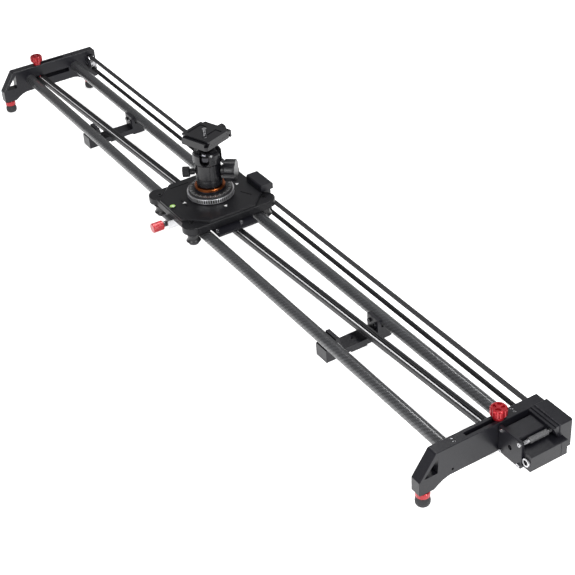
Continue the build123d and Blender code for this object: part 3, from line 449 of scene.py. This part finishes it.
def toothed_belt():
    """Closed belt: a band round both pulleys with a tooth every two millimetres inside."""
    far, near = middle("idler_pulley"), middle("drive_pulley")
    low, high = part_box("belt")
    y_mid, half = (low.y + high.y) / 2, (high.y - low.y) / 2
    outer = (high.z - low.z) / 2
    thick, tooth, pitch = 0.8 * MM, 0.6 * MM, 2.0 * MM
    mesh = bmesh.new()
    corners = [mesh.verts.new((far.x, y_mid + side * half, far.z + r))
               for side, r in ((-1, outer - thick), (1, outer - thick), (1, outer), (-1, outer))]
    ring = [mesh.edges.new((corners[k], corners[(k + 1) % 4])) for k in range(4)]

    def run(edges, length):
        made = bmesh.ops.extrude_edge_only(mesh, edges=edges)["geom"]
        fresh = [v for v in made if isinstance(v, bmesh.types.BMVert)]
        bmesh.ops.translate(mesh, verts=fresh, vec=(length, 0, 0))
        ends = set(fresh)
        return [e for e in made if isinstance(e, bmesh.types.BMEdge) and set(e.verts) <= ends]

    def wrap(edges, centre):
        made = bmesh.ops.spin(mesh, geom=edges + list({v for e in edges for v in e.verts}),
                              cent=(centre.x, y_mid, centre.z), axis=(0, 1, 0), angle=math.pi, steps=20,
                              use_merge=False, use_duplicate=False)["geom_last"]
        return [e for e in made if isinstance(e, bmesh.types.BMEdge)]

    ring = run(ring, near.x - far.x)
    ring = wrap(ring, near)
    ring = run(ring, far.x - near.x)
    wrap(ring, far)
    bmesh.ops.remove_doubles(mesh, verts=mesh.verts, dist=1e-6)
    count = int((near.x - far.x) / pitch)
    for level in (far.z + outer - thick - tooth / 2, far.z - outer + thick + tooth / 2):
        for k in range(count):
            shape = Matrix.Translation((far.x + (k + 0.5) * pitch, y_mid, level)) @ \
                Matrix.Diagonal((1.0 * MM, 2 * half, tooth, 1))
            bmesh.ops.create_cube(mesh, size=1.0, matrix=shape)
    made = piece("toothed_belt", mesh, BELT_RUBBER, "frame")
    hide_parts("belt")


def turntable_ring():
    """Silver ring with upright flutes round its edge."""
    low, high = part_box("pan_table")
    mesh = ribbed_drum(bmesh.new(), middle("pan_table"), (0, 0, 1), (high.x - low.x) / 2, high.z - low.z,
                       FLUTES, FLUTE_DEPTH, gap=0.05 * MM, rim=0.5 * MM)
    made = piece("turntable_ring", mesh, knurl_finish(), "turntable")
    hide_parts("pan_table")


def thumb_rod():
    """Ribbed grip on a silver rod with fine rings at both ends."""
    mid, front = middle("thumb_roller"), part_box("thumb_roller")[0].y
    centre = Vector((mid.x, front, mid.z))
    outline = [(0, 0), (2.1, 0), (2.5, 0.5)]
    for k in range(12):
        ring = 0.8 + k
        outline += [(2.5, ring), (2.1, ring + 0.35), (2.5, ring + 0.7)]
    outline += [(2.5, 13.2), (2.5, 39.4), (2.0, 39.8), (2.0, 40.6), (2.5, 41.0), (2.5, 42.2), (2.0, 42.5),
                (2.0, 43.3), (2.5, 43.6), (2.5, 46.3), (2.3, 46.5), (0, 46.5)]
    made = piece("thumb_rod", lathed(outline, centre, (0, 1, 0), 32), ROD_SILVER, "thumb_rod",
                 30)
    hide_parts("thumb_roller")
    sleeve = ribbed_drum(bmesh.new(), Vector((mid.x, front + 26.2 * MM, mid.z)), (0, 1, 0), 3.5 * MM,
                         25.8 * MM, ribs=26, cut=0.35 * MM, gap=0.12 * MM)
    piece("thumb_grip", sleeve, ROD_GREY, "thumb_rod", 30)


def motor_shaft_end():
    """Domed end of the motor shaft with its seal ring, seen through the hole in the motor plate."""
    outline = [(0, 1.7), (0.9, 1.6), (1.5, 1.2), (1.6, 0.0), (2.2, 0.0), (2.4, 0.5), (2.7, 0.5), (2.9, 0.0)]
    shell = lathed(outline, spot(*SHAFT_END), (0, -1, 0), 32)
    piece("motor_shaft_end", shell, STEEL, "frame", 30)


def socket_contacts():
    """Insulating core of the round socket with a ring of contact pins."""
    mid = middle("control_socket")
    at = Vector((mid.x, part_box("control_socket")[0].y + SOCKET_DEPTH, mid.z))
    mesh = lathed([(0, 1.2), (2.6, 1.2), (3.0, 0.8), (3.3, 0.0)], at, (0, -1, 0), 32)
    for k in range(4):
        a = math.radians(45 + 90 * k)
        pin = at + Vector((math.cos(a) * 1.5, -2.6, math.sin(a) * 1.5)) * MM
        place = Matrix.Translation(pin) @ Matrix.Rotation(math.pi / 2, 4, "X")
        bmesh.ops.create_cone(mesh, cap_ends=True, segments=12, radius1=0.4 * MM, radius2=0.28 * MM,
                              depth=3.4 * MM, matrix=place)
    piece("socket_contacts", mesh, GRIP, "frame", 30)


def direction_marks():
    """Small white arrowheads round the turntable, pointing outwards."""
    mid, top = middle("pan_table"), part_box("deck")[1].z
    mesh = bmesh.new()
    for k in range(4):
        bearing = math.radians(90 * k)
        at = Vector((mid.x + math.cos(bearing) * MARK_CIRCLE, mid.y + math.sin(bearing) * MARK_CIRCLE,
                     top + 0.05 * MM))
        place = Matrix.Translation(at) @ Matrix.Rotation(bearing - math.pi / 2, 4, "Z")
        bmesh.ops.create_cone(mesh, cap_ends=True, segments=3, radius1=3.1 * MM, radius2=3.0 * MM,
                              depth=0.12 * MM, matrix=place)
    piece("direction_marks", mesh, WHITE, "carriage")


def level_bubble():
    """Bubble and centring ring in the bullseye level."""
    mid, top = middle("level_glass"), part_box("level_glass")[1].z
    mesh = bmesh.new()
    place = Matrix.Translation((mid.x + 0.6 * MM, mid.y + 0.3 * MM, top - 0.10 * MM)) @ \
        Matrix.Diagonal((1, 1, 0.15, 1))
    bmesh.ops.create_uvsphere(mesh, u_segments=20, v_segments=10, radius=1.5 * MM, matrix=place)
    piece("level_bubble", mesh, WHITE, "carriage", 60)
    ring = lathed([(2.2, -0.06), (2.5, -0.06), (2.5, 0.05), (2.2, 0.05), (2.2, -0.06)],
                  Vector((mid.x, mid.y, top)), (0, 0, 1), 40)
    piece("level_circle", ring, HEAD_BLACK, "carriage")


toothed_belt()
turntable_ring()
thumb_rod()
motor_shaft_end()
socket_contacts()
direction_marks()
level_bubble()


# ---------------------------------------------------------------- floor, light and camera
def floor():
    """Pale plain floor under the feet."""
    s = Shade("studio_floor")
    cloud = s.noise(0.8, 2.0)
    s.set(Base_Color=s.mix(cloud, tint(0.90, 0.90, 0.90), tint(0.92, 0.92, 0.92)),
          Roughness=cloud * 0.1 + 0.75)
    s.body.inputs["Emission Color"].default_value = tint(1.0, 1.0, 1.0)
    s.body.inputs["Emission Strength"].default_value = 0.75
    mesh = bmesh.new()
    bmesh.ops.create_grid(mesh, x_segments=1, y_segments=1, size=14.0)
    bmesh.ops.translate(mesh, verts=mesh.verts, vec=(0, 0, -0.0002))
    data = bpy.data.meshes.new("studio_floor")
    mesh.to_mesh(data)
    mesh.free()
    data.materials.append(s.material)
    made = bpy.data.objects.new("studio_floor", data)
    bpy.context.scene.collection.objects.link(made)


def soft_light(name, at, towards, size, power):
    """Rectangular area light aimed at a point."""
    lamp = bpy.data.lights.new(name, "AREA")
    lamp.shape, lamp.size, lamp.size_y, lamp.energy = "RECTANGLE", size[0], size[1], power
    made = bpy.data.objects.new(name, lamp)
    made.location = at
    made.rotation_euler = (Vector(towards) - Vector(at)).to_track_quat("-Z", "Y").to_euler()
    bpy.context.scene.collection.objects.link(made)


def studio():
    """Even white surroundings with a long overhead strip and two softer fills."""
    world = bpy.data.worlds.new("studio")
    bpy.context.scene.world = world
    world.use_nodes = True
    sky = world.node_tree.nodes["Background"]
    sky.inputs["Color"].default_value = tint(1.0, 1.0, 1.0)
    sky.inputs["Strength"].default_value = 0.30
    bpy.context.scene.view_settings.view_transform = "Standard"
    soft_light("overhead", (0.1, 0.5, 1.9), (0, 0, 0), (2.6, 0.22), 30)
    soft_light("front_fill", (0.9, -1.9, 1.1), (0.1, 0, 0), (1.6, 0.4), 30)
    soft_light("end_key", (2.3, 0.2, 1.2), (0.4, 0, 0), (0.5, 0.5), 24)


def camera():
    """Long lens high over the motor end, tipped a little."""
    azimuth, height, roll = (math.radians(a) for a in (60.381, 34.745, -4.151))
    back = Vector((math.sin(azimuth) * math.cos(height), -math.cos(azimuth) * math.cos(height),
                   math.sin(height)))
    level = Vector((math.cos(azimuth), math.sin(azimuth), 0))
    rise = back.cross(level)
    right = level * math.cos(roll) + rise * math.sin(roll)
    up = rise * math.cos(roll) - level * math.sin(roll)
    lens = bpy.data.cameras.new("camera")
    lens.sensor_width, lens.lens = 36.0, 82.13
    lens.clip_start, lens.clip_end = 0.05, 60.0
    made = bpy.data.objects.new("camera", lens)
    turned = Matrix((right, up, back)).transposed().to_4x4()
    made.matrix_world = Matrix.Translation(spot(1430.92, -703.62, 1023.84)) @ turned
    bpy.context.scene.collection.objects.link(made)
    bpy.context.scene.camera = made


floor()
studio()
camera()
